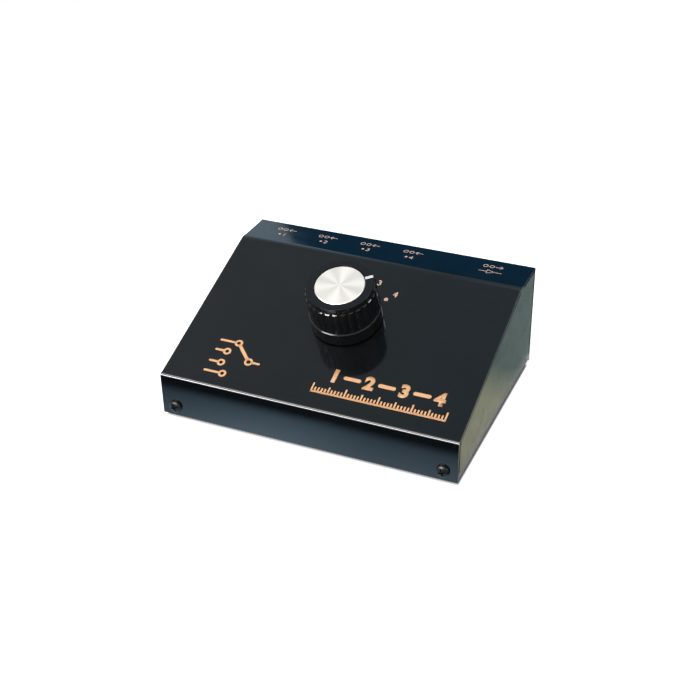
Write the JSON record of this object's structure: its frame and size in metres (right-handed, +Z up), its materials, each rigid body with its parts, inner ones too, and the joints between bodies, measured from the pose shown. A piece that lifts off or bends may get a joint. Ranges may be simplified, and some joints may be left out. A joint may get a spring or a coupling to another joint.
{
  "type": "audio source selector",
  "caption": "Sloping metal desk box that switches one of several stereo sources to an output with a rotary knob, phono sockets along its rear.",
  "frame": {"origin": "centre of the part's outer box, on the plane the feet stand on", "axes": "+X to the right as seen from the front, +Y to the rear, +Z up"},
  "size_m": [0.14, 0.1178, 0.0658],
  "materials": {
    "cover_paint": "semi-gloss dark slate paint",
    "tray_paint": "semi-gloss dark slate paint",
    "black_screw": "black finished steel",
    "foot_rubber": "matt rubber",
    "knob_plastic": "satin black moulding",
    "knob_aluminium": "spun face",
    "pointer_white": "white filling",
    "bush_brass": "turned",
    "tool_steel": "dark steel",
    "cast_zinc": "die cast",
    "plated_steel": "zinc plated",
    "switch_plastic": "moulded",
    "wafer_board": "laminated board",
    "contact_metal": "plated contact metal",
    "turned_aluminium": "turned",
    "rotor_nylon": "natural nylon",
    "jack_nickel": "nickel plated",
    "ring_white": "white moulding",
    "ring_red": "red moulding",
    "core_plastic": "black moulding",
    "fibre_washer": "fibre",
    "tinned_metal": "tinned",
    "wire_white": "insulated wire",
    "wire_red": "insulated wire"
  },
  "bodies": {
    "case": {"top_cover": "cover_paint", "base_tray": "tray_paint", "front_screws": "black_screw", "rear_screws": "black_screw", "rubber_feet": "foot_rubber", "switch_bushing": "cast_zinc", "switch_lockwasher": "plated_steel", "switch_nut": "plated_steel", "switch_housing": "switch_plastic", "switch_wafer": "wafer_board", "switch_terminals": "contact_metal", "jack_shell_1_left": "jack_nickel", "jack_shell_1_right": "jack_nickel", "jack_shell_2_left": "jack_nickel", "jack_shell_2_right": "jack_nickel", "jack_shell_3_left": "jack_nickel", "jack_shell_3_right": "jack_nickel", "jack_shell_4_left": "jack_nickel", "jack_shell_4_right": "jack_nickel", "jack_shell_5_left": "jack_nickel", "jack_shell_5_right": "jack_nickel", "jack_ring_1_left": "ring_white", "jack_ring_1_right": "ring_red", "jack_ring_2_left": "ring_white", "jack_ring_2_right": "ring_red", "jack_ring_3_left": "ring_white", "jack_ring_3_right": "ring_red", "jack_ring_4_left": "ring_white", "jack_ring_4_right": "ring_red", "jack_ring_5_left": "ring_white", "jack_ring_5_right": "ring_red", "jack_core_1": "core_plastic", "jack_core_2": "core_plastic", "jack_core_3": "core_plastic", "jack_core_4": "core_plastic", "jack_core_5": "core_plastic", "jack_contact_1": "contact_metal", "jack_contact_2": "contact_metal", "jack_contact_3": "contact_metal", "jack_contact_4": "contact_metal", "jack_contact_5": "contact_metal", "jack_collars": "jack_nickel", "jack_washers": "fibre_washer", "ground_lugs": "tinned_metal", "jack_nuts": "jack_nickel", "ground_wire": "tinned_metal", "signal_wires_left": "wire_white", "signal_wires_right": "wire_red"},
    "knob": {"knob_body": "knob_plastic", "knob_cap": "knob_aluminium", "knob_pointer": "pointer_white", "knob_bush": "bush_brass", "knob_grub_screw": "tool_steel", "switch_shaft": "turned_aluminium", "shaft_clip": "tool_steel", "switch_rotor": "rotor_nylon", "rotor_wipers": "contact_metal", "detent_spring": "plated_steel", "detent_ball": "plated_steel"}
  },
  "joints": [
    {"name": "knob_turn", "type": "hinge", "parent": "case", "child": "knob", "pos_m": [0, -0.00881, 0.03964], "axis": [0, -0.3399, 0.9405], "range_deg": [0, 90]}
  ]
}
